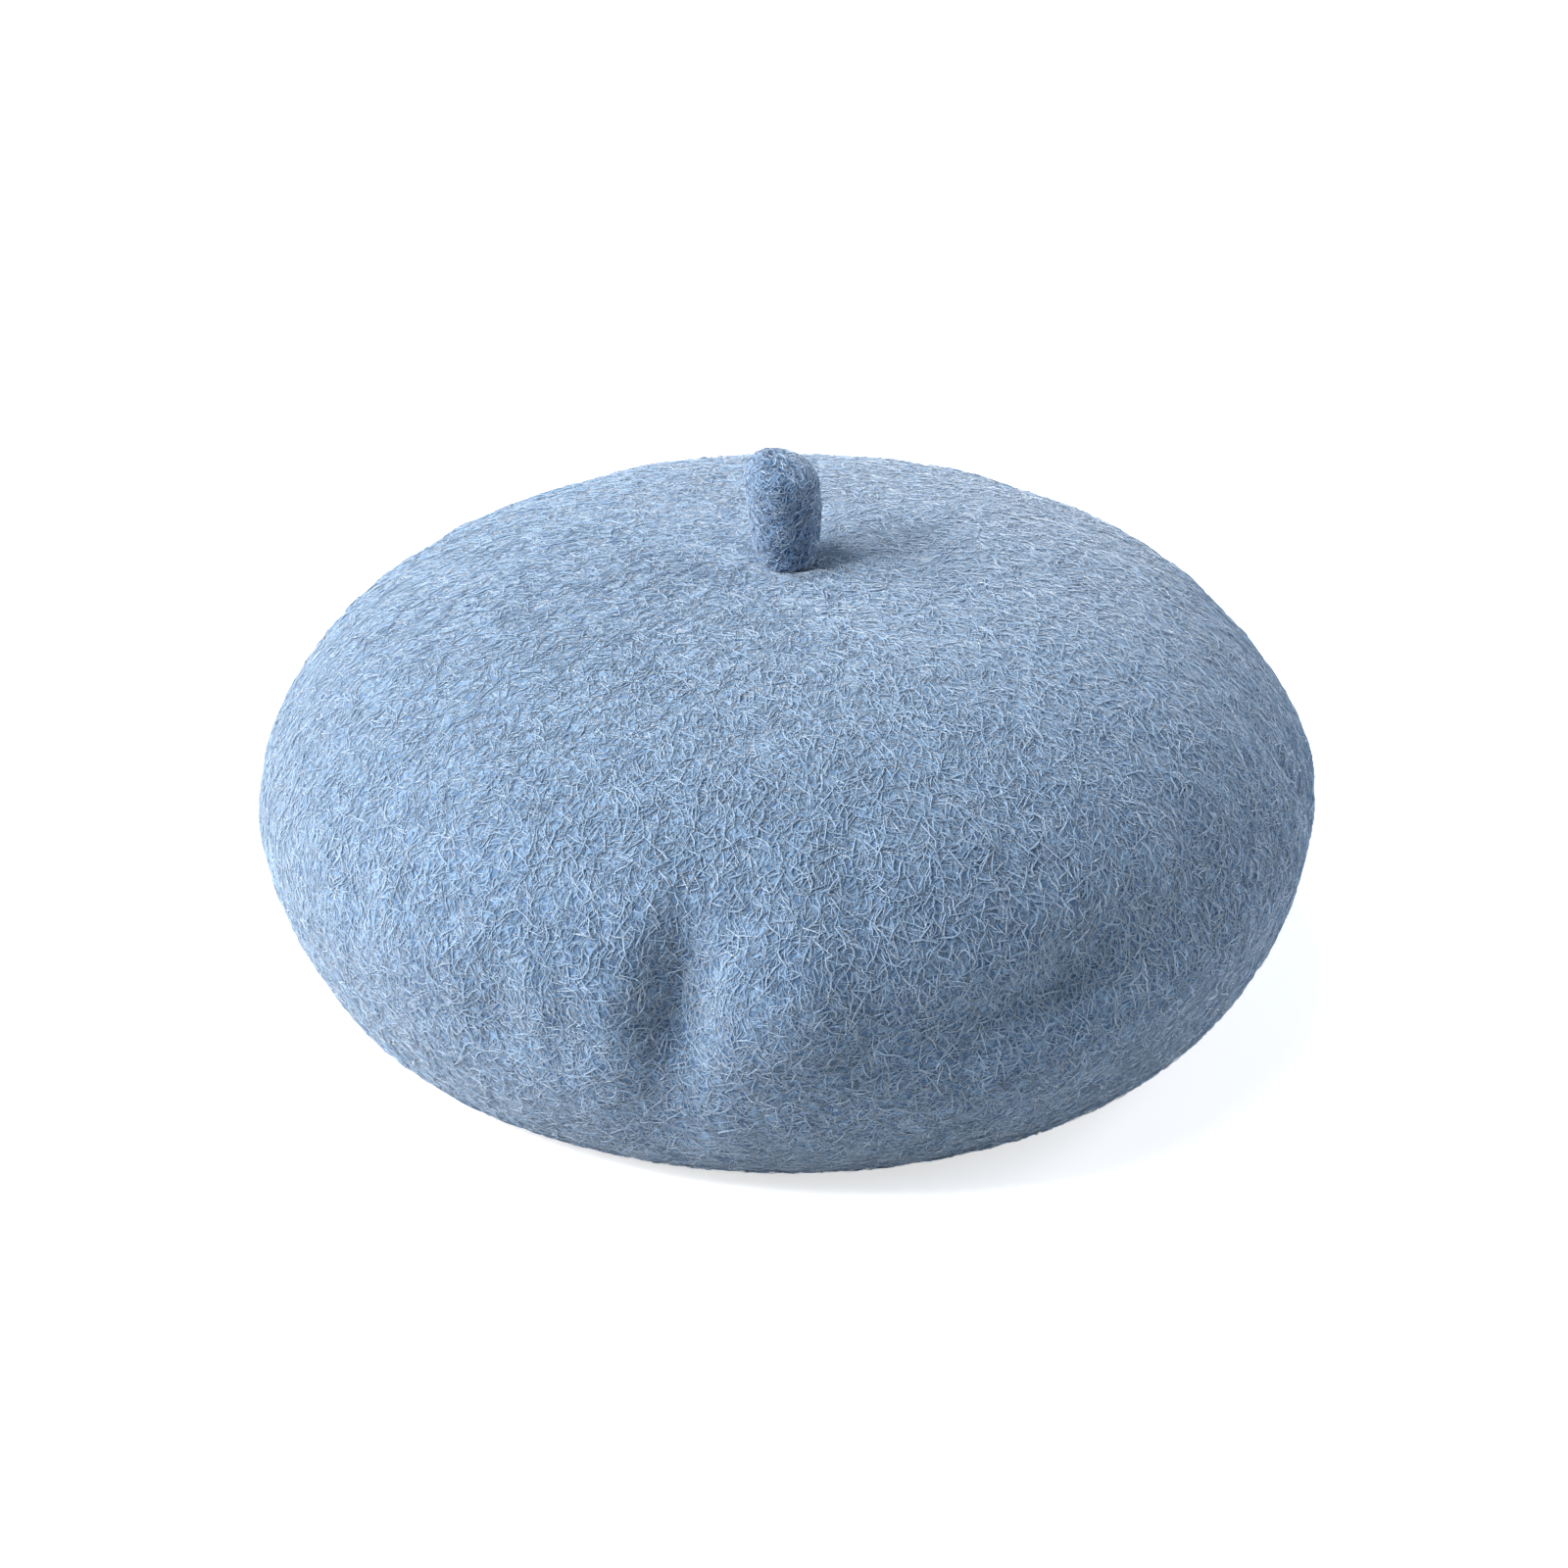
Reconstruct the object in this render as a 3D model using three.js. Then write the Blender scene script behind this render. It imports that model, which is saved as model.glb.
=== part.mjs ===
// A beret of moulded wool felt: one hollow body, open below, and a short thick felt stem on its top.
// Millimetres, +Z up. The origin is the middle of the head opening, on the plane that the beret rests on.
// The front, with the deep fold, faces -Y. A turn is an angle round the axis from the front towards +X.

import * as THREE from "three";

// The body
const crownDiameter = 268; // across the widest ring
const domeRise = 65; // widest ring to the middle of the dome
const edgeDrop = 50; // widest ring to the plane that it rests on
const openingDiameter = 172; // head opening, for a head of about 54 cm
const restWidth = 10; // flat ring round the opening, pressed flat where the beret rests
const feltWall = 3;

// Fullness of the quarter curves that make the outline: 2 is an ellipse, more is squarer, less is leaner
const domeFullness = { across: 2.82, up: 1.83 };
const edgeFullness = { across: 2.2, down: 1.5 };

// The stem
const stemDiameter = 18.2;
const stemHeight = 29.5;
const stemGap = 0.3; // between the stem and the dome under it
const stemLean = 1.5; // how far its top stands off towards -X
const stemBend = 1.5; // 1 is a straight lean, more bends its upper part
const stemTopSlope = 4; // degrees that its top falls towards +X
const stemDomeShare = 0.27; // share of its height that rounds over at the top
const stemDomeFullness = 2.3;
const pitDiameter = 3; // the small pit in its top
const pitDepth = 1.8;
const pitOffset = 1.6; // how far the pit lies from the middle, towards -X

// How the stem swells from its root, as shares of its height and of its radius
const stemSwell = [
  { up: 0.0, wide: 0.72 },
  { up: 0.05, wide: 0.78 },
  { up: 0.16, wide: 0.88 },
  { up: 0.32, wide: 0.95 },
  { up: 0.52, wide: 0.99 },
  { up: 1 - stemDomeShare, wide: 1.0 },
];

// The pit's wall from its rim down, as shares of its depth and of its radius
const pitWall = [
  { down: 0.55, wide: 0.7 },
  { down: 1, wide: 0 },
];

// Folds and swells of the body. turn: degrees round the axis. along: share of the outline, from the middle of
// the dome to the rest plane. lean: degrees that the fold's long way is turned off the outline's, its upper end
// towards +X. wide, tall and deep: half width, half length and depth, as shares of crownDiameter. A negative
// depth is a swell.
const folds = [
  { turn: -12.7, along: 0.628, lean: 5, wide: 0.021, tall: 0.052, deep: 0.022 },
  { turn: -4, along: 0.66, lean: 8, wide: 0.032, tall: 0.042, deep: -0.01 },
  { turn: -22, along: 0.64, lean: 0, wide: 0.024, tall: 0.05, deep: -0.004 },
  { turn: -32, along: 0.69, lean: 10, wide: 0.019, tall: 0.036, deep: 0.008 },
  { turn: -52, along: 0.65, lean: 6, wide: 0.02, tall: 0.034, deep: 0.005 },
  { turn: 7.5, along: 0.53, lean: 0, wide: 0.018, tall: 0.05, deep: 0.004 },
  { turn: 24, along: 0.645, lean: 80, wide: 0.03, tall: 0.15, deep: 0.009 },
  { turn: 31, along: 0.66, lean: 10, wide: 0.02, tall: 0.034, deep: 0.005 },
  { turn: 52, along: 0.6, lean: 12, wide: 0.022, tall: 0.05, deep: 0.005 },
  { turn: 82, along: 0.57, lean: -14, wide: 0.016, tall: 0.07, deep: 0.008 },
  { turn: 43, along: 0.72, lean: 79, wide: 0.026, tall: 0.17, deep: -0.004 },
];
const foldsEnd = { from: 0.86, to: 0.95 }; // shares of the outline between which all folds fade out

// Fineness of the faceted surfaces
const columns = 84;
const outlineRows = 28;
const outlineAccuracy = 800; // chords that measure the outline's length
const edgeSteps = 4;
const stemColumns = 24;
const stemDomeSteps = 6;
const frontTurn = -10; // columns are closer together round this turn, where the deepest folds are
const frontCloseness = 0.42;

const crownRadius = crownDiameter / 2;
const restRadius = openingDiameter / 2 + restWidth;
const crownHeight = domeRise + edgeDrop;
const stemRadius = stemDiameter / 2;

const feltBlue = { color: 0x93aecb, roughness: 1, metalness: 0 };
const stemBlue = { color: 0x7f9dbd, roughness: 1, metalness: 0 };

// One quarter of a superellipse, from (1, 0) at share 0 to (0, 1) at share 1.
function quarter(share, fullAcross, fullUp) {
  const angle = (share * Math.PI) / 2;
  const across = Math.max(0, Math.cos(angle)) ** (2 / fullAcross);
  return new THREE.Vector2(across, Math.sin(angle) ** (2 / fullUp));
}

// The outline of the body from the middle of the dome, over the widest ring, down to the rest plane.
class Outline extends THREE.Curve {
  getPoint(t, target = new THREE.Vector2()) {
    if (t <= 0.5) {
      const dome = quarter(1 - 2 * t, domeFullness.across, domeFullness.up);
      return target.set(crownRadius * dome.x, edgeDrop + domeRise * dome.y);
    }
    const edge = quarter(2 * t - 1, edgeFullness.across, edgeFullness.down);
    const reach = crownRadius - restRadius;
    return target.set(restRadius + reach * edge.x, edgeDrop * (1 - edge.y));
  }
}

// Rows of the outline at even steps, each with its place and the direction that points out of the felt.
function outlineStations() {
  const outline = new Outline();
  outline.arcLengthDivisions = outlineAccuracy;
  const stations = [];
  for (let row = 0; row <= outlineRows; row++) {
    const share = row / outlineRows;
    const tangent = outline.getTangentAt(share);
    const out = new THREE.Vector2(-tangent.y, tangent.x);
    if (row === 0) out.set(0, 1);
    if (row === outlineRows) out.set(0, -1);
    stations.push({ share, out, place: outline.getPointAt(share) });
  }
  return { stations, outlineLength: outline.getLength() };
}

// How far all folds together press the felt in at a turn (radians) and a share of the outline.
function foldDepth(turn, share, outlineLength) {
  let depth = 0;
  for (const fold of folds) {
    const centre = THREE.MathUtils.degToRad(fold.turn);
    const lean = THREE.MathUtils.degToRad(fold.lean);
    const difference = Math.atan2(Math.sin(turn - centre), Math.cos(turn - centre));
    const aside = (difference * crownRadius) / crownDiameter;
    const above = ((fold.along - share) * outlineLength) / crownDiameter;
    const across = aside * Math.cos(lean) - above * Math.sin(lean);
    const lengthwise = aside * Math.sin(lean) + above * Math.cos(lean);
    const reach = (across / fold.wide) ** 2 + (lengthwise / fold.tall) ** 2;
    depth += fold.deep * crownDiameter * Math.exp(-reach / 2);
  }
  return depth * (1 - THREE.MathUtils.smoothstep(share, foldsEnd.from, foldsEnd.to));
}

// The closed section of the wall: from the axis down the inside, round the lip of the opening and back up the
// outside, so that its faces point out. The inside has every second row.
function wallSection(stations) {
  const inside = stations
    .filter((station, row) => row % 2 === 0)
    .map(({ share, out, place }) => ({
      share,
      out,
      place: place.clone().addScaledVector(out, -feltWall),
    }));
  const lip = [];
  const lipCentre = new THREE.Vector2((openingDiameter + feltWall) / 2, feltWall / 2);
  for (let step = 0; step <= edgeSteps; step++) {
    const angle = Math.PI * (0.5 + step / edgeSteps);
    const round = new THREE.Vector2(Math.cos(angle), Math.sin(angle));
    const place = lipCentre.clone().addScaledVector(round, feltWall / 2);
    lip.push({ share: 1, out: round, place });
  }
  return [...inside, ...lip, ...stations.slice().reverse()];
}

// Turns a section round the axis, +Z up, with the front at -Y.
function turned(section, sides) {
  const geometry = new THREE.LatheGeometry(
    section.map((row) => row.place),
    sides,
  );
  geometry.rotateX(Math.PI / 2);
  return geometry;
}

function crownGeometry() {
  const { stations, outlineLength } = outlineStations();
  const section = wallSection(stations);
  const geometry = turned(section, columns);
  const places = geometry.getAttribute("position");
  const front = THREE.MathUtils.degToRad(frontTurn);
  for (let column = 0; column <= columns; column++) {
    const even = (2 * Math.PI * column) / columns;
    const turn = even - frontCloseness * Math.sin(even - front);
    section.forEach(({ share, out, place }, row) => {
      const depth = foldDepth(turn, share, outlineLength);
      const radius = place.x - out.x * depth;
      const height = place.y - out.y * depth;
      const vertex = column * section.length + row;
      const atAxis = place.x < 1e-6;
      const x = atAxis ? 0 : radius * Math.sin(turn);
      const y = atAxis ? 0 : -radius * Math.cos(turn);
      places.setXYZ(vertex, x, y, atAxis ? place.y : height);
    });
  }
  return geometry;
}

// The stem's section from the middle of its root, up its side, over its rounded top and into the pit. aside is
// how far a row's middle lies towards -X.
function stemSection() {
  const pitRadius = pitDiameter / 2;
  const row = (radius, height, aside) => ({
    place: new THREE.Vector2(radius, height),
    aside,
  });
  const leanAt = (height) => stemLean * (height / stemHeight) ** stemBend;
  const section = [row(0, 0, 0)];
  for (const { up, wide } of stemSwell) {
    const height = up * stemHeight;
    section.push(row(wide * stemRadius, height, leanAt(height)));
  }
  const domeHeight = stemDomeShare * stemHeight;
  const rimAngle = Math.acos((pitRadius / stemRadius) ** (stemDomeFullness / 2));
  const rimShare = rimAngle / (Math.PI / 2);
  for (let step = 1; step <= stemDomeSteps; step++) {
    const share = (rimShare * step) / stemDomeSteps;
    const round = quarter(share, stemDomeFullness, stemDomeFullness);
    const height = stemHeight - domeHeight * (1 - round.y);
    const towardsPit = pitOffset * (step / stemDomeSteps) ** 2;
    section.push(row(round.x * stemRadius, height, leanAt(height) + towardsPit));
  }
  const pitAside = leanAt(stemHeight) + pitOffset;
  for (const { down, wide } of pitWall) {
    section.push(row(wide * pitRadius, stemHeight - down * pitDepth, pitAside));
  }
  return section;
}

function stemGeometry() {
  const section = stemSection();
  const geometry = turned(section, stemColumns);
  const places = geometry.getAttribute("position");
  const slope = Math.tan(THREE.MathUtils.degToRad(stemTopSlope));
  for (let vertex = 0; vertex < places.count; vertex++) {
    const { place, aside } = section[vertex % section.length];
    const fall = slope * places.getX(vertex) * (place.y / stemHeight) ** 2;
    places.setX(vertex, places.getX(vertex) - aside);
    places.setZ(vertex, places.getZ(vertex) - fall);
  }
  return geometry;
}

function piece(name, geometry, look) {
  const mesh = new THREE.Mesh(geometry, new THREE.MeshStandardMaterial(look));
  mesh.name = name;
  return mesh;
}

const beret = new THREE.Group();
beret.add(piece("crown", crownGeometry(), feltBlue));
const stem = piece("stem", stemGeometry(), stemBlue);
stem.position.z = crownHeight + stemGap;
beret.add(stem);

export default beret;
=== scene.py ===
import math

import bpy
import numpy as np
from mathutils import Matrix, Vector, noise


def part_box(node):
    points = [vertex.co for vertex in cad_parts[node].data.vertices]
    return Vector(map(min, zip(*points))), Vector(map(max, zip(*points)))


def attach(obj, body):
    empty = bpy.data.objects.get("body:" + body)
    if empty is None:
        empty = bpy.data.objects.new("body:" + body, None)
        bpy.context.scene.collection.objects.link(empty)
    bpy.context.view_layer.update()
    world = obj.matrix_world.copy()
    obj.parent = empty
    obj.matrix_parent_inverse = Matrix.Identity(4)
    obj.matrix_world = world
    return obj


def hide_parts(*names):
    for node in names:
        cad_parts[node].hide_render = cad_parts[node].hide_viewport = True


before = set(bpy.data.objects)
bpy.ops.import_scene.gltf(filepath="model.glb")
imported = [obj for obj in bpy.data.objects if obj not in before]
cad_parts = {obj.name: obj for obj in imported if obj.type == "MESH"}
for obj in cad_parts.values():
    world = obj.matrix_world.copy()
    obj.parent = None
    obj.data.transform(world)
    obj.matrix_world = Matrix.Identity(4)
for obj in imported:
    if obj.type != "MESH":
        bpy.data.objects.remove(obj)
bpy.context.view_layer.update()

# A light blue beret of felted wool, resting on its head opening. Metres, +Z up, the front faces -Y.
mm = 0.001
crownLow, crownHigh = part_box("crown")
stemLow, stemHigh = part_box("stem")
print("frame loaded")


# shared helpers

def hexLinear(text):
    channels = [int(text[i:i + 2], 16) / 255 for i in (1, 3, 5)]
    return [c / 12.92 if c <= 0.04045 else ((c + 0.055) / 1.055) ** 2.4 for c in channels] + [1.0]


def addNode(tree, kind, settings=None, inputs=None):
    node = tree.nodes.new(kind)
    for name, value in (settings or {}).items():
        setattr(node, name, value)
    for socket, value in (inputs or {}).items():
        if isinstance(value, bpy.types.Node):
            value = value.outputs[0]
        if isinstance(value, bpy.types.NodeSocket):
            tree.links.new(value, node.inputs[socket])
        else:
            node.inputs[socket].default_value = value
    return node


def newMaterial(name):
    material = bpy.data.materials.new(name)
    material.use_nodes = True
    material.node_tree.nodes.clear()
    return material, material.node_tree


# paler and darker tufts of fibre, longer down the slope, and fading upwards between two heights
tufts = {"size": 4.5 * mm, "tall": 1.6, "depth": 0.8, "topDepth": 0.25, "detail": 1.5,
         "from": 70 * mm, "to": 110 * mm}


def tuftShade(tree, place):
    stretched = addNode(tree, "ShaderNodeVectorMath", {"operation": "MULTIPLY"},
                        {0: place, 1: (1, 1, 1 / tufts["tall"])})
    tuft = addNode(tree, "ShaderNodeTexNoise",
                   inputs={"Vector": stretched, "Scale": 1 / tufts["size"], "Detail": tufts["detail"]})
    height = addNode(tree, "ShaderNodeSeparateXYZ", inputs={0: place})
    depth = addNode(tree, "ShaderNodeMapRange", inputs={
        "Value": height.outputs["Z"], "From Min": tufts["from"], "From Max": tufts["to"],
        "To Min": tufts["depth"], "To Max": tufts["topDepth"]})
    offMiddle = addNode(tree, "ShaderNodeMath", {"operation": "SUBTRACT"}, {0: tuft, 1: 0.5})
    return addNode(tree, "ShaderNodeMath", {"operation": "MULTIPLY"}, {0: offMiddle, 1: depth})


def addPiece(name, vertices, faces, material):
    mesh = bpy.data.meshes.new(name)
    mesh.from_pydata(vertices.tolist(), [], faces)
    mesh.polygons.foreach_set("use_smooth", [True] * len(mesh.polygons))
    mesh.materials.append(material)
    mesh.update()
    obj = bpy.data.objects.new(name, mesh)
    bpy.context.scene.collection.objects.link(obj)
    return obj


def quarter(share, fullAcross, fullUp):
    # one quarter of a superellipse, from (1, 0) at share 0 to (0, 1) at share 1
    angle = share * math.pi / 2
    return np.maximum(0, np.cos(angle)) ** (2 / fullAcross), np.sin(angle) ** (2 / fullUp)


def turnedFaces(columns, rows):
    # faces of a grid turned round the axis, with a pole at its first row and another at its last
    faces = []
    poleTop, poleEnd = columns * rows, columns * rows + 1
    for i in range(columns):
        k = (i + 1) % columns
        faces.append((poleTop, i * rows, k * rows))
        faces.append((i * rows + rows - 1, poleEnd, k * rows + rows - 1))
        for j in range(rows - 1):
            faces.append((i * rows + j, i * rows + j + 1, k * rows + j + 1, k * rows + j))
    return faces


# materials

feltMake = {
    "strandWidth": 0.55 * mm,
    "strandGrain": 0.22,        # a fibre's width as a share of the grain of the noise that draws it
    "strandEdge": 0.07,         # how far a fibre spreads in that noise
    "strandDetail": 0.6,
    "curl": 5 * mm,
    "curlDetail": 1.0,
    "bump": 0.45 * mm,
    "layers": ((0.0, 0.0, 0.0), (1.1, 0.77, 0.44), (2.3, 1.61, 0.92)),   # how each layer of fibres is turned
    "roughness": 0.95,
    "specular": 0.2,
    "sheen": 0.6,
    "sheenRoughness": 0.4,
}
# colours between the fibres, where the darker gaps are painted shade, and on them, and how much paler the
# felt gets upwards
bodyFelt = {"deep": "#4c688b", "light": "#7491b2", "paleTop": 0.5}
stemFelt = {"deep": "#3d597e", "light": "#6584a8", "paleTop": 0.0}


def makeFelt(name, look):
    # wool felt, wetted and rubbed until it mats: matt, with fine curly fibres and darker gaps between them,
    # the gaps being painted shade
    material, tree = newMaterial(name)
    place = addNode(tree, "ShaderNodeTexCoord").outputs["Object"]
    drift = addNode(tree, "ShaderNodeTexNoise",
                    inputs={"Vector": place, "Scale": 1 / feltMake["curl"], "Detail": feltMake["curlDetail"]})
    offCentre = addNode(tree, "ShaderNodeVectorMath", {"operation": "SUBTRACT"},
                        {0: drift.outputs["Color"], 1: (0.5, 0.5, 0.5)})
    bend = addNode(tree, "ShaderNodeVectorMath", {"operation": "SCALE"},
                   {0: offCentre, "Scale": feltMake["curl"]})
    curled = addNode(tree, "ShaderNodeVectorMath", {"operation": "ADD"}, {0: place, 1: bend})
    strands = None
    for turns in feltMake["layers"]:
        turned = addNode(tree, "ShaderNodeVectorRotate", {"rotation_type": "EULER_XYZ"},
                         {"Vector": curled, "Rotation": turns})
        wisps = addNode(tree, "ShaderNodeTexNoise",
                        inputs={"Vector": turned, "Detail": feltMake["strandDetail"],
                                "Scale": feltMake["strandGrain"] / feltMake["strandWidth"]})
        middle = addNode(tree, "ShaderNodeMath", {"operation": "SUBTRACT"}, {0: wisps, 1: 0.5})
        away = addNode(tree, "ShaderNodeMath", {"operation": "ABSOLUTE"}, {0: middle})
        ridge = addNode(tree, "ShaderNodeMapRange", {"interpolation_type": "SMOOTHSTEP"},
                        {"Value": away, "From Min": 0.0, "From Max": feltMake["strandEdge"],
                         "To Min": 1.0, "To Max": 0.0})
        if strands is None:
            strands = ridge
        else:
            strands = addNode(tree, "ShaderNodeMath", {"operation": "MAXIMUM"}, {0: strands, 1: ridge})
    height = addNode(tree, "ShaderNodeSeparateXYZ", inputs={0: place})
    topping = addNode(tree, "ShaderNodeMapRange", inputs={
        "Value": height.outputs["Z"], "From Min": tufts["from"], "From Max": tufts["to"],
        "To Min": 0.0, "To Max": look["paleTop"]})
    tufted = addNode(tree, "ShaderNodeMath", {"operation": "ADD"}, {0: strands, 1: tuftShade(tree, place)})
    shade = addNode(tree, "ShaderNodeMath", {"operation": "ADD", "use_clamp": True},
                    {0: tufted, 1: topping})
    # the darker colour in the gaps between the fibres is painted shade; the tufts vary the tone at random
    colour = addNode(tree, "ShaderNodeMix", {"data_type": "RGBA"},
                     {"Factor": shade, 6: hexLinear(look["deep"]), 7: hexLinear(look["light"])})
    bump = addNode(tree, "ShaderNodeBump",
                   inputs={"Strength": 1.0, "Distance": feltMake["bump"], "Height": strands})
    shader = addNode(tree, "ShaderNodeBsdfPrincipled",
                     inputs={"Base Color": colour.outputs[2], "Roughness": feltMake["roughness"],
                             "Specular IOR Level": feltMake["specular"], "Sheen Weight": feltMake["sheen"],
                             "Sheen Roughness": feltMake["sheenRoughness"], "Normal": bump})
    addNode(tree, "ShaderNodeOutputMaterial", inputs={"Surface": shader})
    return material


napMake = {"roughness": 0.9, "specular": 0.2, "sheen": 0.8, "sheenRoughness": 0.35}
bodyNap = {"dark": "#7d9abb", "light": "#9fb6d0"}
stemNap = {"dark": "#6686ae", "light": "#9db6d2"}


def makeNapWool(name, look):
    # loose wool fibres brushed up from the felt: paler than the felt, since light passes through each one
    material, tree = newMaterial(name)
    tone = addNode(tree, "ShaderNodeAttribute", {"attribute_name": "tone"})
    colour = addNode(tree, "ShaderNodeMix", {"data_type": "RGBA"},
                     {"Factor": tone.outputs["Fac"],
                      6: hexLinear(look["dark"]), 7: hexLinear(look["light"])})
    shader = addNode(tree, "ShaderNodeBsdfPrincipled",
                     inputs={"Base Color": colour.outputs[2], "Roughness": napMake["roughness"],
                             "Specular IOR Level": napMake["specular"], "Sheen Weight": napMake["sheen"],
                             "Sheen Roughness": napMake["sheenRoughness"]})
    addNode(tree, "ShaderNodeOutputMaterial", inputs={"Surface": shader})
    return material


# the body

crown = {
    "radius": (crownHigh.x - crownLow.x) / 2,
    "height": crownHigh.z,
    "edgeDrop": 50 * mm,
    "openingRadius": 86 * mm,
    "restWidth": 10 * mm,
    "wall": 3 * mm,
    # fullness of the quarter curves across and up: 2 is an ellipse, more is squarer
    "domeFullness": (2.82, 1.83),
    "edgeFullness": (2.2, 1.5),
    "foldsEnd": (0.86, 0.95),    # shares of the outline between which the folds fade out
    "columns": 300,
    "rows": 120,
    "insideRows": 30,
    "lipSteps": 8,
    "lumps": ((34 * mm, 0.9 * mm), (13 * mm, 0.35 * mm)),   # size and height of the felt's soft lumps
    "calm": {"top": 0.12, "foot": 0.94, "fade": 0.1},       # shares of the outline at which lumps fade out
    "streaks": {"wide": 8 * mm, "tall": 24 * mm, "height": 0.55 * mm, "from": 0.38, "to": 0.72,
                "rise": 1.6},   # rise: how fast they gain their height from either end
}

# Folds and swells: turn in degrees from the front, share of the outline from the middle of the dome, lean in
# degrees, then half width, half length and depth as shares of the crown's diameter
crownFolds = [
    (-11.9, 0.668, 4, 0.026, 0.062, 0.045),
    (1.5, 0.648, 12, 0.034, 0.045, -0.014),
    (-23.8, 0.684, -8, 0.018, 0.042, 0.006),
    (-31.5, 0.69, 0, 0.02, 0.04, 0.007),
    (-28, 0.72, 86, 0.026, 0.09, 0.008),
    (-52, 0.65, 6, 0.02, 0.034, 0.005),
    (7.5, 0.53, 0, 0.018, 0.05, 0.004),
    (29, 0.675, 80, 0.03, 0.15, 0.021),
    (31, 0.66, 10, 0.02, 0.034, 0.005),
    (52, 0.6, 12, 0.022, 0.05, 0.005),
    (78.5, 0.612, -8, 0.011, 0.04, 0.009),
    (72.5, 0.605, -8, 0.013, 0.05, -0.005),
    (83, 0.53, -14, 0.012, 0.04, 0.005),
    (-5.5, 0.565, 6, 0.013, 0.035, 0.005),
    (43, 0.745, 79, 0.026, 0.17, -0.004),
]


def outlineRows(count):
    # places along the outline at even steps, and the way out of the felt at each
    chords = 4000
    t = np.linspace(0, 1, chords + 1)
    middle = chords // 2 + 1
    domeX, domeZ = quarter(1 - 2 * t[:middle], *crown["domeFullness"])
    edgeX, edgeZ = quarter(2 * t[middle:] - 1, *crown["edgeFullness"])
    restRadius = crown["openingRadius"] + crown["restWidth"]
    rise = crown["height"] - crown["edgeDrop"]
    r = np.concatenate([crown["radius"] * domeX, restRadius + (crown["radius"] - restRadius) * edgeX])
    z = np.concatenate([crown["edgeDrop"] + rise * domeZ, crown["edgeDrop"] * (1 - edgeZ)])
    length = np.concatenate([[0], np.cumsum(np.hypot(np.diff(r), np.diff(z)))])
    share = np.linspace(0, 1, count)
    rowR = np.interp(share * length[-1], length, r)
    rowZ = np.interp(share * length[-1], length, z)
    outR, outZ = -np.gradient(rowZ), np.gradient(rowR)
    size = np.hypot(outR, outZ)
    outR, outZ = outR / size, outZ / size
    outR[0], outZ[0], outR[-1], outZ[-1] = 0, 1, 0, -1
    return share, rowR, rowZ, outR, outZ, length[-1]


def foldDepth(turn, share, outlineLength):
    depth = np.zeros(np.broadcast(turn, share).shape)
    diameter = 2 * crown["radius"]
    for foldTurn, along, lean, wide, tall, deep in crownFolds:
        difference = (turn - math.radians(foldTurn) + math.pi) % (2 * math.pi) - math.pi
        aside = difference * crown["radius"] / diameter
        above = (along - share) * outlineLength / diameter
        c, s = math.cos(math.radians(lean)), math.sin(math.radians(lean))
        across, lengthwise = aside * c - above * s, aside * s + above * c
        depth += deep * diameter * np.exp(-((across / wide) ** 2 + (lengthwise / tall) ** 2) / 2)
    start, end = crown["foldsEnd"]
    fade = np.clip((share - start) / (end - start), 0, 1)
    return depth * (1 - fade * fade * (3 - 2 * fade))


def lumpHeight(x, y, z):
    return sum(height * noise.noise(Vector((x, y, z)) / size) for size, height in crown["lumps"])


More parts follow.
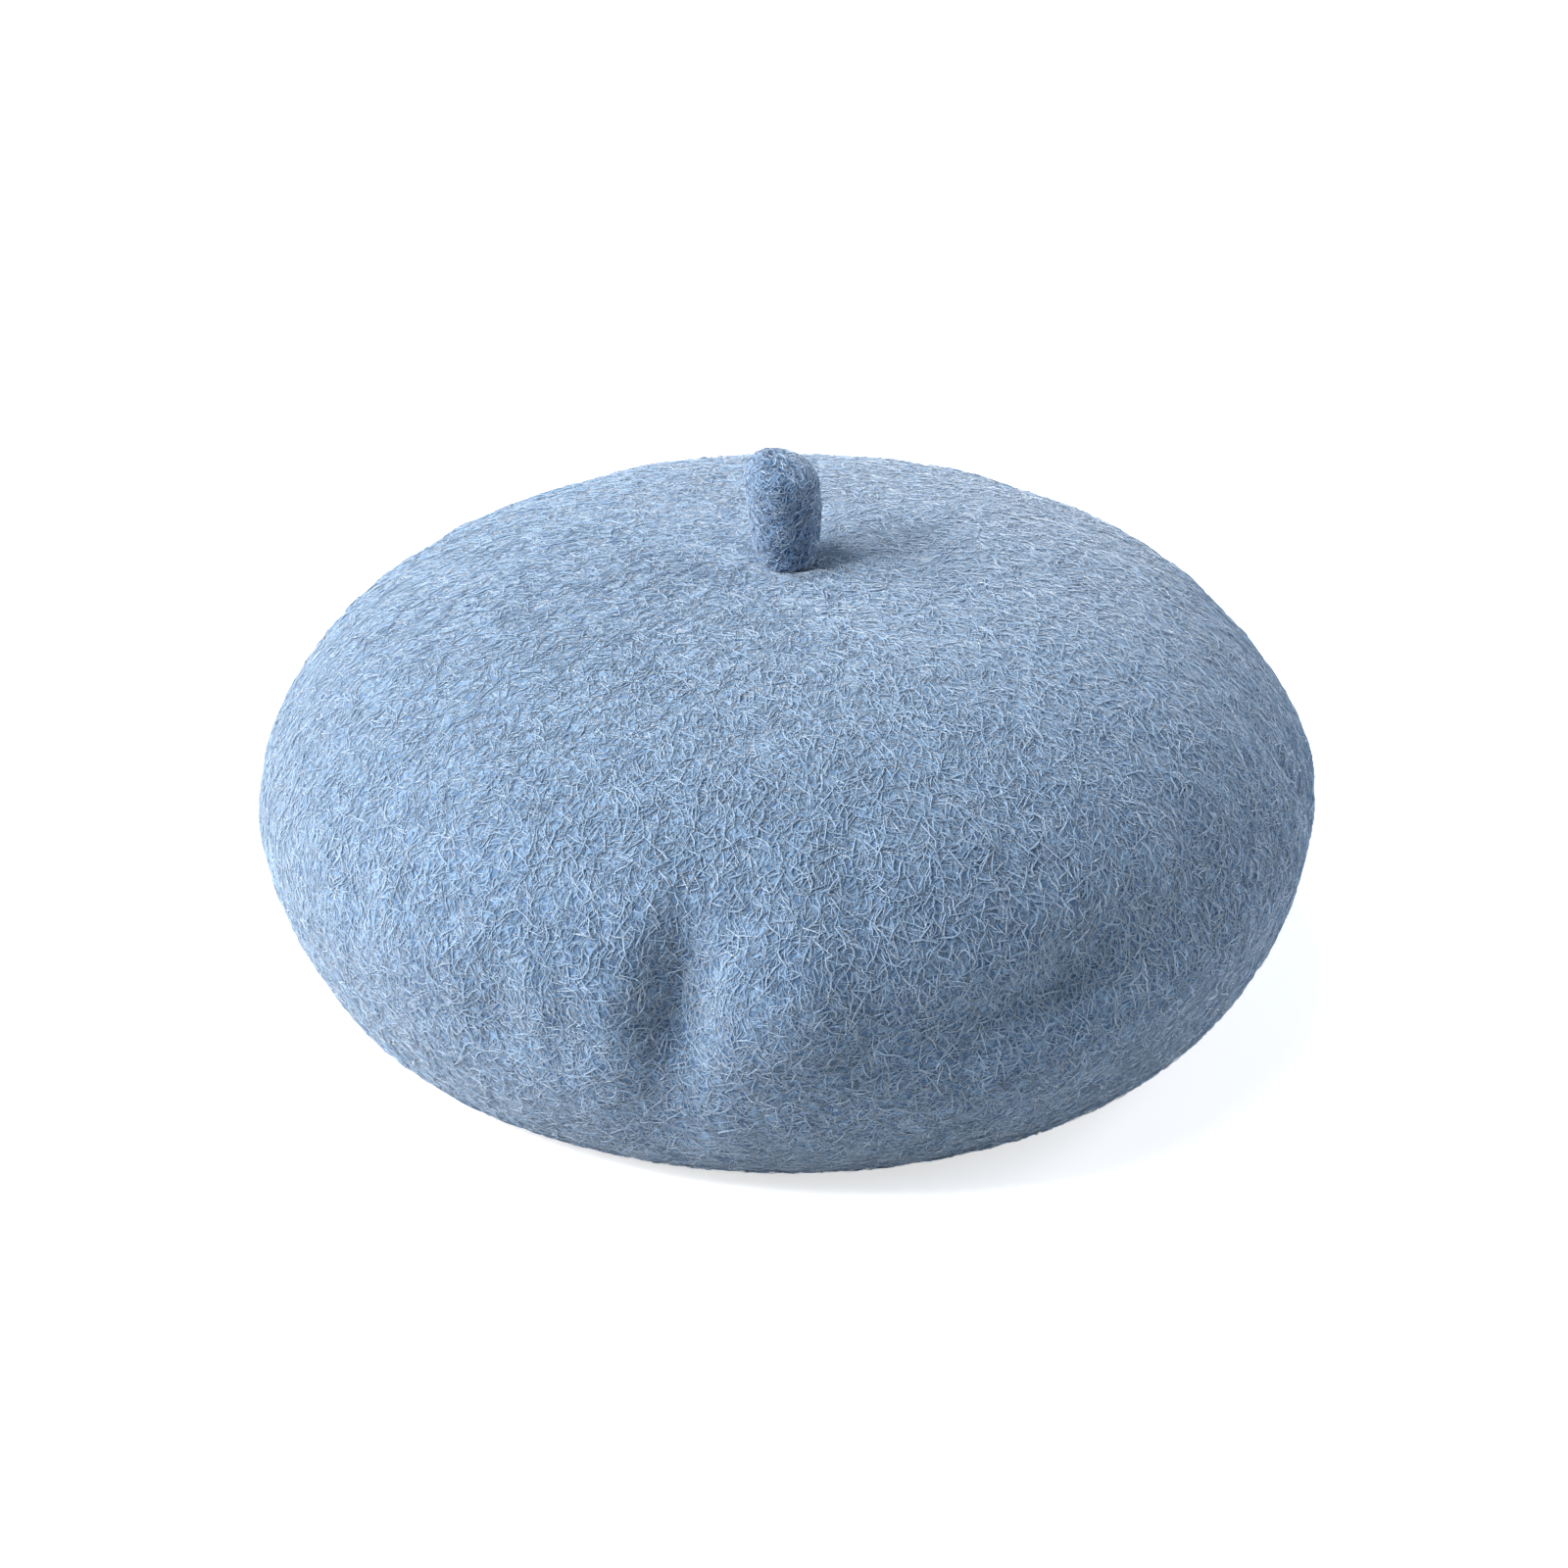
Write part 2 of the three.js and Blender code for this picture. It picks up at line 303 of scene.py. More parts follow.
def makeCrown(material):
    share, r, z, outR, outZ, outlineLength = outlineRows(crown["rows"])
    inside = np.linspace(crown["rows"] - 1, 0, crown["insideRows"]).round().astype(int)
    wall = crown["wall"]
    lipAngle = np.linspace(-0.5, -1.5, crown["lipSteps"] + 1) * math.pi
    lipR = crown["openingRadius"] + wall / 2 + wall / 2 * np.cos(lipAngle)
    lipZ = wall / 2 + wall / 2 * np.sin(lipAngle)
    rows = {
        "share": np.concatenate([share, np.ones(len(lipR)), share[inside]]),
        "r": np.concatenate([r, lipR, (r - outR * wall)[inside]]),
        "z": np.concatenate([z, lipZ, (z - outZ * wall)[inside]]),
        "outR": np.concatenate([outR, np.cos(lipAngle), outR[inside]]),
        "outZ": np.concatenate([outZ, np.sin(lipAngle), outZ[inside]]),
    }
    turn = 2 * math.pi * np.arange(crown["columns"]) / crown["columns"]
    depth = foldDepth(turn[:, None], rows["share"][None, :], outlineLength)
    baseX = rows["r"] * np.sin(turn)[:, None]
    baseY = -rows["r"] * np.cos(turn)[:, None]
    streaks = crown["streaks"]
    middle, reach = (streaks["from"] + streaks["to"]) / 2, (streaks["to"] - streaks["from"]) / 2
    inward = 1 - np.abs(rows["share"] - middle) / reach
    streaky = np.clip(streaks["rise"] * inward, 0, 1) * streaks["height"]
    calm = crown["calm"]
    lumpy = np.clip((calm["foot"] - rows["share"]) / calm["fade"], 0, 1)
    lumpy = lumpy * np.clip(rows["share"] / calm["top"], 0, 1)
    for i in range(crown["columns"]):
        for j in range(1, crown["rows"] - 1):
            if lumpy[j] > 0:
                depth[i, j] -= lumpy[j] * lumpHeight(baseX[i, j], baseY[i, j], rows["z"][j])
            if streaky[j] > 0:
                spot = Vector((baseX[i, j], baseY[i, j], rows["z"][j] * streaks["wide"] / streaks["tall"]))
                depth[i, j] -= streaky[j] * noise.noise(spot / streaks["wide"])
    radius = rows["r"] - rows["outR"] * depth
    height = rows["z"] - rows["outZ"] * depth
    x = (radius * np.sin(turn)[:, None])[:, 1:-1]
    y = (-radius * np.cos(turn)[:, None])[:, 1:-1]
    grid = np.stack([x, y, height[:, 1:-1]], -1)
    gridRows = grid.shape[1]
    poles = [[0, 0, rows["z"][0]], [0, 0, rows["z"][-1]]]
    vertices = np.vstack([grid.reshape(-1, 3), poles])
    obj = addPiece("feltedCrown", vertices, turnedFaces(crown["columns"], gridRows), material)
    # how far along the outline each point lies: -1 inside, where no nap grows
    outside = np.arange(1, gridRows + 1) < crown["rows"]
    along = np.tile(np.where(outside, rows["share"][1:-1], -1), crown["columns"])
    outlineShare = obj.data.attributes.new("outlineShare", "FLOAT", "POINT")
    outlineShare.data.foreach_set("value", np.concatenate([along, [0, -1]]))
    return obj


# the stem

stem = {
    "radius": (stemHigh.y - stemLow.y) / 2,
    "foot": stemLow.z,
    "height": 29.5 * mm,
    "lean": 2.0 * mm,           # how far the top stands off towards -X
    "bend": 1.5,                # 1 is a straight lean, more bends the upper part
    "topSlope": 4,              # degrees that the top falls towards +X
    "domeShare": 0.27,          # share of the height that rounds over at the top
    "domeFullness": 2.3,
    "domeSteps": 12,
    "pitRadius": 1.5 * mm,
    "pitDepth": 1.8 * mm,
    "pitOffset": 1.6 * mm,
    "columns": 72,
    "rows": 90,
    "lumps": ((9 * mm, 0.25 * mm), (3 * mm, 0.15 * mm)),
    "lumpsFrom": 2 * mm,        # the foot stays plain up to here
    # shares of the height and of the radius, up the side and then down the pit
    "swell": ((0, 0.72), (0.05, 0.78), (0.16, 0.88), (0.32, 0.95), (0.52, 0.99), (0.73, 1.0)),
    "pitWall": ((0.55, 0.7), (1, 0)),
}


def stemSection():
    # radius, height above the foot, and how far the row's middle stands off towards -X
    rows = [(0, 0, 0)]
    for up, wide in stem["swell"]:
        rows.append((wide * stem["radius"], up * stem["height"], 0))
    steps = stem["domeSteps"]
    rim = math.acos((stem["pitRadius"] / stem["radius"]) ** (stem["domeFullness"] / 2)) / (math.pi / 2)
    domeHeight = stem["domeShare"] * stem["height"]
    for step in range(1, steps + 1):
        x, z = quarter(rim * step / steps, stem["domeFullness"], stem["domeFullness"])
        aside = stem["pitOffset"] * (step / steps) ** 2
        rows.append((x * stem["radius"], stem["height"] - domeHeight * (1 - z), aside))
    for down, wide in stem["pitWall"]:
        rows.append((wide * stem["pitRadius"], stem["height"] - down * stem["pitDepth"], stem["pitOffset"]))
    return np.array(rows)


def makeStem(material):
    section = stemSection()
    length = np.concatenate([[0], np.cumsum(np.hypot(*np.diff(section[:, :2], axis=0).T))])
    even = np.linspace(0, length[-1], stem["rows"])
    r, z, aside = (np.interp(even, length, section[:, k]) for k in range(3))
    aside = aside + stem["lean"] * (z / stem["height"]) ** stem["bend"]
    turn = -2 * math.pi * np.arange(stem["columns"]) / stem["columns"]
    slope = math.tan(math.radians(stem["topSlope"]))
    vertices = []
    for angle in turn:
        for j in range(1, stem["rows"] - 1):
            x, y = r[j] * math.sin(angle), -r[j] * math.cos(angle)
            lump = sum(h * noise.noise(Vector((x, y, z[j])) / size) for size, h in stem["lumps"])
            fit = (1 + lump / stem["radius"]) if z[j] > stem["lumpsFrom"] else 1
            height = stem["foot"] + z[j] - slope * x * (z[j] / stem["height"]) ** 2
            vertices.append((x * fit - aside[j], y * fit, height))
    vertices.append((0, 0, stem["foot"]))
    vertices.append((-aside[-1], 0, stem["foot"] + z[-1]))
    faces = turnedFaces(stem["columns"], stem["rows"] - 2)
    return addPiece("feltedStem", np.array(vertices), faces, material)


# the nap

# Where each piece of nap grows: from one share of the outline to another, and on which half, -1 the front,
# 1 the back, 0 both. Then its strands: how many to a square centimetre, their length and how far they stand
# off in millimetres, the degrees that they spread by and are turned off the slope, and how mixed their
# tones are. The stem has its nap all over.
nap = {
    "dome": {"from": 0.03, "to": 0.40, "half": 0, "perCm2": 40, "length": 6.2, "lift": 0.5,
             "spread": 30, "towards": 0, "mix": 0.3},
    "sideFront": {"from": 0.40, "to": 0.70, "half": -1, "perCm2": 42, "length": 6.8, "lift": 0.6,
                  "spread": 30, "towards": 0, "mix": 0.55},
    "sideBack": {"from": 0.40, "to": 0.70, "half": 1, "perCm2": 32, "length": 6.8, "lift": 0.6,
                 "spread": 30, "towards": 0, "mix": 0.55},
    "bandFront": {"from": 0.70, "to": 0.97, "half": -1, "perCm2": 38, "length": 7.0, "lift": 0.6,
                  "spread": 55, "towards": 90, "mix": 0.7},
    "bandBack": {"from": 0.70, "to": 0.97, "half": 1, "perCm2": 28, "length": 7.0, "lift": 0.6,
                 "spread": 55, "towards": 90, "mix": 0.7},
    "stem": {"perCm2": 90, "length": 4.0, "lift": 0.35, "spread": 70, "towards": 0, "mix": 0.7},
}
napStrand = {
    "halfWidth": 0.15 * mm,
    "curl": 1.3,
    "points": 5,
    "sides": 3,
    "floor": 0.35 * mm,         # no strand's middle line goes below this height
    "lowLift": 1.6,             # more than 1 lays more of the strands flat
    "crowding": 1.8,            # how much denser they grow in the pale tufts
    "tuftTone": 1.5,            # how much paler they are there
    "flow": 7 * mm,             # over this distance neighbouring strands turn together
    "flowDetail": 0.5,
    "swing": 200,               # by about this many degrees
    "weld": 0.001 * mm,
}
zoneEdge = {"size": 7 * mm, "reach": 0.03}   # how ragged the border of a zone is, as a share of the outline
# what differs from strand to strand: the lowest and highest value, and a fixed seed
strandChance = {
    "strayOnce": (-0.5, 0.5, 11), "strayTwice": (-0.5, 0.5, 12), "length": (0.45, 1.35, 21),
    "bow": (-0.3, 0.3, 22), "sway": (-0.24, 0.24, 23), "lift": (0.0, 1.0, 24), "tip": (-0.5, 0.5, 25),
    "tone": (-0.5, 0.5, 26), "girth": (0.6, 1.25, 27),
}


def napTree():
    # points scattered on the felt, a short line at each, bent into a curl, laid on the felt at a small
    # height, and given a thin body that tapers to both ends
    tree = bpy.data.node_groups.new("brushedNap", "GeometryNodeTree")
    sockets = tree.interface
    sockets.new_socket("Geometry", in_out="OUTPUT", socket_type="NodeSocketGeometry")
    sockets.new_socket("Felt", in_out="INPUT", socket_type="NodeSocketObject")
    for name in ("PerM2", "Length", "Spread", "Towards", "HalfWidth", "Lift", "Curl", "Mix", "Floor"):
        sockets.new_socket(name, in_out="INPUT", socket_type="NodeSocketFloat")
    sockets.new_socket("Seed", in_out="INPUT", socket_type="NodeSocketInt")
    sockets.new_socket("Wool", in_out="INPUT", socket_type="NodeSocketMaterial")
    given = addNode(tree, "NodeGroupInput").outputs
    felt = addNode(tree, "GeometryNodeObjectInfo", inputs={"Object": given["Felt"]}).outputs["Geometry"]
    place = addNode(tree, "GeometryNodeInputPosition")
    crowding = addNode(tree, "ShaderNodeMath", {"operation": "MULTIPLY_ADD"},
                       {0: tuftShade(tree, place), 1: napStrand["crowding"], 2: 1.0})
    crowd = addNode(tree, "ShaderNodeMath", {"operation": "MULTIPLY"}, {0: crowding, 1: given["PerM2"]})
    chosen = addNode(tree, "GeometryNodeInputNamedAttribute", {"data_type": "FLOAT"}, {"Name": "napHere"})
    scatter = addNode(tree, "GeometryNodeDistributePointsOnFaces", {"distribute_method": "RANDOM"},
                      {"Mesh": felt, "Selection": chosen.outputs["Attribute"], "Density": crowd,
                       "Seed": given["Seed"]})
    # the way each fibre lies: down the slope, turned round the felt's normal
    normal = scatter.outputs["Normal"]
    around = addNode(tree, "ShaderNodeVectorMath", {"operation": "CROSS_PRODUCT"},
                     {0: (0, 0, 1), 1: normal})
    aroundUnit = addNode(tree, "ShaderNodeVectorMath", {"operation": "NORMALIZE"}, {0: around})
    downhill = addNode(tree, "ShaderNodeVectorMath", {"operation": "CROSS_PRODUCT"},
                       {0: aroundUnit, 1: normal})
    chance = {}
    for name, (low, high, seed) in strandChance.items():
        draw = addNode(tree, "FunctionNodeRandomValue", {"data_type": "FLOAT"},
                       {2: low, 3: high, "Seed": seed})
        chance[name] = draw.outputs[1]
    strayed = addNode(tree, "ShaderNodeMath", {"operation": "ADD"},
                      {0: chance["strayOnce"], 1: chance["strayTwice"]})
    stray = addNode(tree, "ShaderNodeMath", {"operation": "MULTIPLY"}, {0: strayed, 1: given["Spread"]})
    drift = addNode(tree, "ShaderNodeTexNoise", inputs={
        "Vector": place, "Scale": 1 / napStrand["flow"], "Detail": napStrand["flowDetail"]})
    swing = addNode(tree, "ShaderNodeMath", {"operation": "SUBTRACT"}, {0: drift, 1: 0.5})
    swept = addNode(tree, "ShaderNodeMath", {"operation": "MULTIPLY_ADD"},
                    {0: swing, 1: math.radians(napStrand["swing"]), 2: stray})
    heading = addNode(tree, "ShaderNodeMath", {"operation": "ADD"}, {0: swept, 1: given["Towards"]})
    along = addNode(tree, "ShaderNodeVectorRotate", {"rotation_type": "AXIS_ANGLE"},
                    {"Vector": downhill, "Axis": normal, "Angle": heading})
    aside = addNode(tree, "ShaderNodeVectorMath", {"operation": "CROSS_PRODUCT"}, {0: normal, 1: along})
    length = addNode(tree, "ShaderNodeMath", {"operation": "MULTIPLY"},
                     {0: chance["length"], 1: given["Length"]})
    bow = addNode(tree, "ShaderNodeMath", {"operation": "MULTIPLY"}, {0: chance["bow"], 1: length})
    sway = addNode(tree, "ShaderNodeMath", {"operation": "MULTIPLY"}, {0: chance["sway"], 1: length})
    liftShare = addNode(tree, "ShaderNodeMath", {"operation": "POWER"},
                        {0: chance["lift"], 1: napStrand["lowLift"]})
    lift = addNode(tree, "ShaderNodeMath", {"operation": "MULTIPLY"}, {0: liftShare, 1: given["Lift"]})
    spotted = addNode(tree, "ShaderNodeMath", {"operation": "MULTIPLY_ADD"},
                      {0: chance["tone"], 1: given["Mix"], 2: 0.5})
    tone = addNode(tree, "ShaderNodeMath", {"operation": "MULTIPLY_ADD", "use_clamp": True},
                   {0: tuftShade(tree, place), 1: napStrand["tuftTone"], 2: spotted})
    points = scatter.outputs["Points"]
    stored = {
        "root": ("FLOAT_VECTOR", place), "along": ("FLOAT_VECTOR", along), "aside": ("FLOAT_VECTOR", aside),
        "length": ("FLOAT", length), "bow": ("FLOAT", bow), "sway": ("FLOAT", sway),
        "lift": ("FLOAT", lift),
        "tip": ("FLOAT", chance["tip"]), "tone": ("FLOAT", tone), "girth": ("FLOAT", chance["girth"]),
    }
    for name, (kind, value) in stored.items():
        points = addNode(tree, "GeometryNodeStoreNamedAttribute", {"data_type": kind, "domain": "POINT"},
                         {"Geometry": points, "Name": name, "Value": value})
    # one straight line of a few points, kept with its own measure from -1 to 1
    line = addNode(tree, "GeometryNodeCurvePrimitiveLine", inputs={"Start": (-1, 0, 0), "End": (1, 0, 0)})
    stations = addNode(tree, "GeometryNodeResampleCurve",
                       inputs={"Curve": line, "Count": napStrand["points"]})
    lineX = addNode(tree, "ShaderNodeSeparateXYZ", inputs={0: addNode(tree, "GeometryNodeInputPosition")})
    measured = addNode(tree, "GeometryNodeStoreNamedAttribute", {"data_type": "FLOAT", "domain": "POINT"},
                       {"Geometry": stations, "Name": "reach", "Value": lineX.outputs["X"]})
    planted = addNode(tree, "GeometryNodeInstanceOnPoints", inputs={"Points": points, "Instance": measured})
    loose = addNode(tree, "GeometryNodeRealizeInstances", inputs={"Geometry": planted})
    kinds = {name: kind for name, (kind, value) in stored.items()}
    kinds["reach"] = "FLOAT"
    kept = {}
    for name, kind in kinds.items():
        found = addNode(tree, "GeometryNodeInputNamedAttribute", {"data_type": kind}, {"Name": name})
        kept[name] = found.outputs["Attribute"]
    reach = kept["reach"]
    halfLength = addNode(tree, "ShaderNodeMath", {"operation": "MULTIPLY"}, {0: kept["length"], 1: 0.5})
    forward = addNode(tree, "ShaderNodeMath", {"operation": "MULTIPLY"}, {0: reach, 1: halfLength})
    reachSquared = addNode(tree, "ShaderNodeMath", {"operation": "MULTIPLY"}, {0: reach, 1: reach})
    arch = addNode(tree, "ShaderNodeMath", {"operation": "SUBTRACT"}, {0: 1.0, 1: reachSquared})
    turnOfWave = addNode(tree, "ShaderNodeMath", {"operation": "MULTIPLY"}, {0: reach, 1: math.pi})
    wave = addNode(tree, "ShaderNodeMath", {"operation": "SINE"}, {0: turnOfWave})
    bowed = addNode(tree, "ShaderNodeMath", {"operation": "MULTIPLY"}, {0: kept["bow"], 1: arch})
    swayed = addNode(tree, "ShaderNodeMath", {"operation": "MULTIPLY_ADD"},
                     {0: kept["sway"], 1: wave, 2: bowed})
    sideways = addNode(tree, "ShaderNodeMath", {"operation": "MULTIPLY"}, {0: swayed, 1: given["Curl"]})
    ahead = addNode(tree, "ShaderNodeVectorMath", {"operation": "SCALE"},
                    {0: kept["along"], "Scale": forward})
    across = addNode(tree, "ShaderNodeVectorMath", {"operation": "SCALE"},
                     {0: kept["aside"], "Scale": sideways})
    onLine = addNode(tree, "ShaderNodeVectorMath", {"operation": "ADD"}, {0: kept["root"], 1: ahead})
    flat = addNode(tree, "ShaderNodeVectorMath", {"operation": "ADD"}, {0: onLine, 1: across})
    nearest = addNode(tree, "GeometryNodeProximity", {"target_element": "FACES"},
                      {0: felt, "Sample Position": flat})
    facing = addNode(tree, "GeometryNodeInputNormal")
    upwards = addNode(tree, "GeometryNodeSampleNearestSurface", {"data_type": "FLOAT_VECTOR"},
                      {"Mesh": felt, "Value": facing, "Sample Position": flat})
    tipped = addNode(tree, "ShaderNodeMath", {"operation": "MULTIPLY_ADD"},
                     {0: kept["tip"], 1: reach, 2: arch})
    raised = addNode(tree, "ShaderNodeMath", {"operation": "MULTIPLY"}, {0: tipped, 1: kept["lift"]})
    standOff = addNode(tree, "ShaderNodeVectorMath", {"operation": "SCALE"}, {0: upwards, "Scale": raised})
    laid = addNode(tree, "ShaderNodeVectorMath", {"operation": "ADD"},
                   {0: nearest.outputs["Position"], 1: standOff})
    laidParts = addNode(tree, "ShaderNodeSeparateXYZ", inputs={0: laid})
    clear = addNode(tree, "ShaderNodeMath", {"operation": "MAXIMUM"},
                    {0: laidParts.outputs["Z"], 1: given["Floor"]})
    final = addNode(tree, "ShaderNodeCombineXYZ",
                    inputs={"X": laidParts.outputs["X"], "Y": laidParts.outputs["Y"], "Z": clear})
    curls = addNode(tree, "GeometryNodeSetPosition", inputs={"Geometry": loose, "Position": final})
    taper = addNode(tree, "ShaderNodeMath", {"operation": "SQRT"}, {0: arch})
    thick = addNode(tree, "ShaderNodeMath", {"operation": "MULTIPLY"},
                    {0: kept["girth"], 1: given["HalfWidth"]})
    radius = addNode(tree, "ShaderNodeMath", {"operation": "MULTIPLY"}, {0: taper, 1: thick})
    section = addNode(tree, "GeometryNodeCurvePrimitiveCircle",
                      inputs={"Resolution": napStrand["sides"], "Radius": 1.0})
    bodies = addNode(tree, "GeometryNodeCurveToMesh",
                     inputs={"Curve": curls, "Profile Curve": section, "Scale": radius})
    closed = addNode(tree, "GeometryNodeMergeByDistance",
                     inputs={"Geometry": bodies, "Distance": napStrand["weld"]})
    real = addNode(tree, "GeometryNodeRealizeInstances", inputs={"Geometry": closed})
    smooth = addNode(tree, "GeometryNodeSetShadeSmooth", inputs={"Geometry": real})
    woolly = addNode(tree, "GeometryNodeSetMaterial",
                     inputs={"Geometry": smooth, "Material": given["Wool"]})
    addNode(tree, "NodeGroupOutput", inputs={"Geometry": woolly})
    return tree


def markZone(felt, zone):
    # which faces of the felt carry this zone's nap, with a ragged edge so that zones run into each other
    mesh = felt.data
    here = np.ones(len(mesh.polygons))
    if "outlineShare" in mesh.attributes:
        share = np.empty(len(mesh.vertices))
        mesh.attributes["outlineShare"].data.foreach_get("value", share)
        for face in mesh.polygons:
            along = share[face.vertices[0]]
            ragged = along + zoneEdge["reach"] * noise.noise(face.center / zoneEdge["size"])
            onHalf = zone["half"] == 0 or face.center.y * zone["half"] >= 0
            here[face.index] = along >= 0 and zone["from"] <= ragged < zone["to"] and onHalf
    marks = mesh.attributes.get("napHere") or mesh.attributes.new("napHere", "FLOAT", "FACE")
    marks.data.foreach_set("value", here)
    mesh.update()


def makeNap(name, zone, felt, tree, wool, seed):
    markZone(felt, zone)
    host = bpy.data.objects.new(name + "Host", bpy.data.meshes.new(name + "Host"))
    bpy.context.scene.collection.objects.link(host)
    grow = host.modifiers.new("nap", "NODES")
    grow.node_group = tree
    values = {
        "Felt": felt, "PerM2": zone["perCm2"] * 1e4, "Length": zone["length"] * mm,
        "Spread": math.radians(2 * zone["spread"]), "Towards": math.radians(zone["towards"]),
        "HalfWidth": napStrand["halfWidth"], "Lift": zone["lift"] * mm, "Curl": napStrand["curl"],
        "Mix": zone["mix"], "Floor": napStrand["floor"], "Seed": seed, "Wool": wool,
    }
    for socket in tree.interface.items_tree:
        if socket.in_out == "INPUT":
            grow[socket.identifier] = values[socket.name]
    made = bpy.context.evaluated_depsgraph_get()
    mesh = bpy.data.meshes.new_from_object(host.evaluated_get(made), preserve_all_data_layers=True,
                                           depsgraph=made)
    bpy.data.objects.remove(host)
    for extra in ("root", "along", "aside", "length", "bow", "sway", "lift", "tip", "girth", "reach"):
        mesh.attributes.remove(mesh.attributes[extra])
    mesh.name = name
    obj = bpy.data.objects.new(name, mesh)
    bpy.context.scene.collection.objects.link(obj)
    print(name, sum(len(face.vertices) - 2 for face in mesh.polygons), "triangles")
    return obj


# the set

camera = {
    "elevation": 28,
    "distance": 1600 * mm,
    "focal": 6400,              # pixels of a 1600 pixel frame: four to each millimetre at that distance
    "frame": 1600,
    "middle": (803, 807),       # where the middle of the widest ring is drawn
    "sensor": 36,
    "sightEnd": 100,
}


def makeCamera():
    elevation = math.radians(camera["elevation"])
    half = camera["frame"] / 2
    perPixel = camera["distance"] / camera["focal"]
    right = (half - camera["middle"][0]) * perPixel
    up = (camera["middle"][1] - half) * perPixel
    aim = Vector((right, up * math.sin(elevation), crown["edgeDrop"] + up * math.cos(elevation)))
    back = Vector((0, -math.cos(elevation), math.sin(elevation)))
    lens = bpy.data.cameras.new("camera")
    lens.sensor_width = camera["sensor"]
    lens.lens = camera["focal"] / camera["frame"] * camera["sensor"]
    lens.clip_end = camera["sightEnd"]
    obj = bpy.data.objects.new("camera", lens)
    bpy.context.scene.collection.objects.link(obj)
    obj.location = aim + back * camera["distance"]
    obj.rotation_euler = (math.radians(90) - elevation, 0, 0)
    bpy.context.scene.camera = obj


lights = {
    "sky": {"colour": "#ffffff", "strength": 0.04, "seen": 1.0},
    "left": {"from": (-0.92, -0.18, 0.32), "size": 1.0, "power": 19, "colour": "#fffffb"},
    "leftFront": {"from": (-0.68, -0.345, 0.643), "size": 0.45, "power": 25, "colour": "#fffdfa"},
    "leftBack": {"from": (-0.8, 0.15, 0.6), "size": 0.8, "power": 20, "colour": "#fff8ee"},
    "top": {"from": (-0.3, -0.05, 0.95), "size": 1.4, "power": 23, "colour": "#fdfffe"},
    "right": {"from": (0.97, -0.05, 0.15), "size": 1.2, "power": 12, "colour": "#e6f5ff"},
    "rim": {"from": (0.8, 0.45, 0.22), "size": 1.0, "power": 24, "colour": "#ffffff"},
}
panelDistance = 1.8


def makeLights():
    # soft panels, most of them on the left, and a white backdrop that adds little light of its own
    world = bpy.data.worlds.new("studio")
    bpy.context.scene.world = world
    world.use_nodes = True
    tree = world.node_tree
    tree.nodes.clear()
    sky = lights["sky"]
    ray = addNode(tree, "ShaderNodeLightPath")
    strength = addNode(tree, "ShaderNodeMapRange", inputs={
        "Value": ray.outputs["Is Camera Ray"], "To Min": sky["strength"], "To Max": sky["seen"]})
    glow = addNode(tree, "ShaderNodeBackground",
                   inputs={"Color": hexLinear(sky["colour"]), "Strength": strength})
    addNode(tree, "ShaderNodeOutputWorld", inputs={"Surface": glow})
    for name, rig in lights.items():
        if name == "sky":
            continue
        light = bpy.data.lights.new(name, "AREA")
        light.shape = "DISK"
        light.size = rig["size"]
        light.energy = rig["power"]
        light.color = hexLinear(rig["colour"])[:3]
        obj = bpy.data.objects.new(name, light)
        bpy.context.scene.collection.objects.link(obj)
        towards = Vector(rig["from"]).normalized()
        obj.location = towards * panelDistance
        obj.rotation_euler = towards.to_track_quat("Z", "Y").to_euler()


# lift: how brightly the card itself shows, near the beret and from "far" metres on
floor = {"half": 6.0, "drop": 0.2 * mm, "colour": "#f2f2f2", "lift": (0.75, 1.15), "far": (0.5, 2.5)}


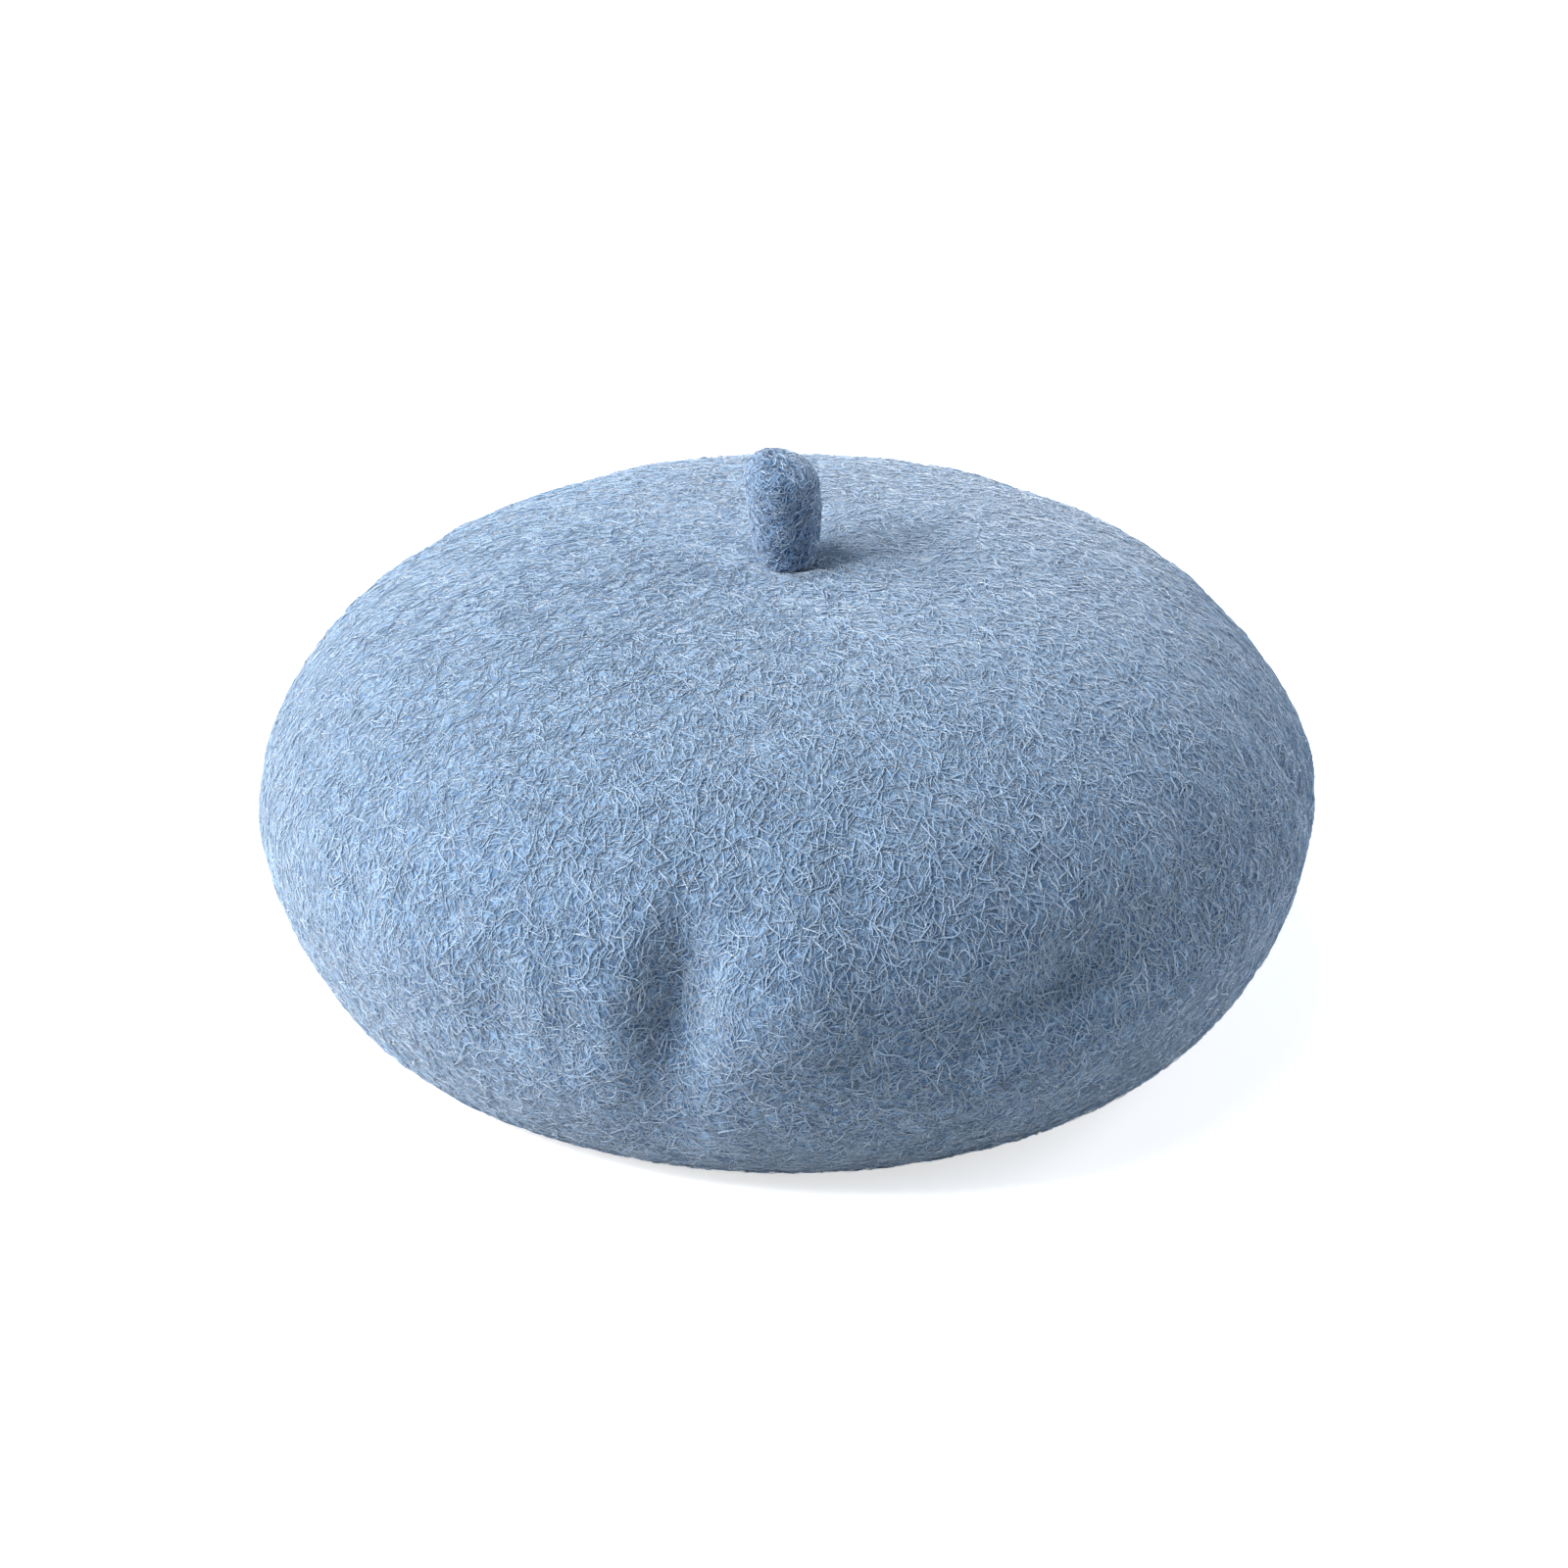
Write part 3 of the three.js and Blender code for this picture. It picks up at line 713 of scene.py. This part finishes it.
def makeFloor():
    # smooth white card, lit so brightly in the studio that shadows hardly show on it
    material, tree = newMaterial("whiteCard")
    card = addNode(tree, "ShaderNodeBsdfDiffuse", inputs={"Color": hexLinear(floor["colour"])})
    place = addNode(tree, "ShaderNodeTexCoord").outputs["Object"]
    away = addNode(tree, "ShaderNodeVectorMath", {"operation": "LENGTH"}, {0: place}).outputs["Value"]
    lift = addNode(tree, "ShaderNodeMapRange", inputs={
        "Value": away, "From Min": floor["far"][0], "From Max": floor["far"][1],
        "To Min": floor["lift"][0], "To Max": floor["lift"][1]})
    ray = addNode(tree, "ShaderNodeLightPath")
    seen = addNode(tree, "ShaderNodeMath", {"operation": "MULTIPLY"},
                   {0: ray.outputs["Is Camera Ray"], 1: lift})
    glow = addNode(tree, "ShaderNodeEmission",
                   inputs={"Color": hexLinear(floor["colour"]), "Strength": seen})
    both = addNode(tree, "ShaderNodeAddShader", inputs={0: card, 1: glow})
    addNode(tree, "ShaderNodeOutputMaterial", inputs={"Surface": both})
    half, drop = floor["half"], floor["drop"]
    corners = np.array([(x * half, y * half, -drop) for x, y in ((-1, -1), (1, -1), (1, 1), (-1, 1))])
    obj = addPiece("floor", corners, [(0, 1, 2, 3)], material)


makeCamera()
makeLights()
makeFloor()
bpy.context.scene.view_settings.view_transform = "Standard"
print("camera, lights and floor made")

bodyWool = makeNapWool("brushedWoolNap", bodyNap)
stemWool = makeNapWool("brushedStemNap", stemNap)
feltedCrown = makeCrown(makeFelt("woolFelt", bodyFelt))
print("crown made,", len(feltedCrown.data.polygons), "faces")
feltedStem = makeStem(makeFelt("denseStemFelt", stemFelt))
print("stem made,", len(feltedStem.data.polygons), "faces")

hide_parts("crown")
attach(feltedCrown, "root")
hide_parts("stem")
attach(feltedStem, "root")

tree = napTree()
for seed, (zoneName, zone) in enumerate(nap.items()):
    onStem = zoneName == "stem"
    pieceName = "nap" + zoneName[0].upper() + zoneName[1:]
    piece = makeNap(pieceName, zone, feltedStem if onStem else feltedCrown, tree,
                    stemWool if onStem else bodyWool, seed)
    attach(piece, "root")
print("nap made")
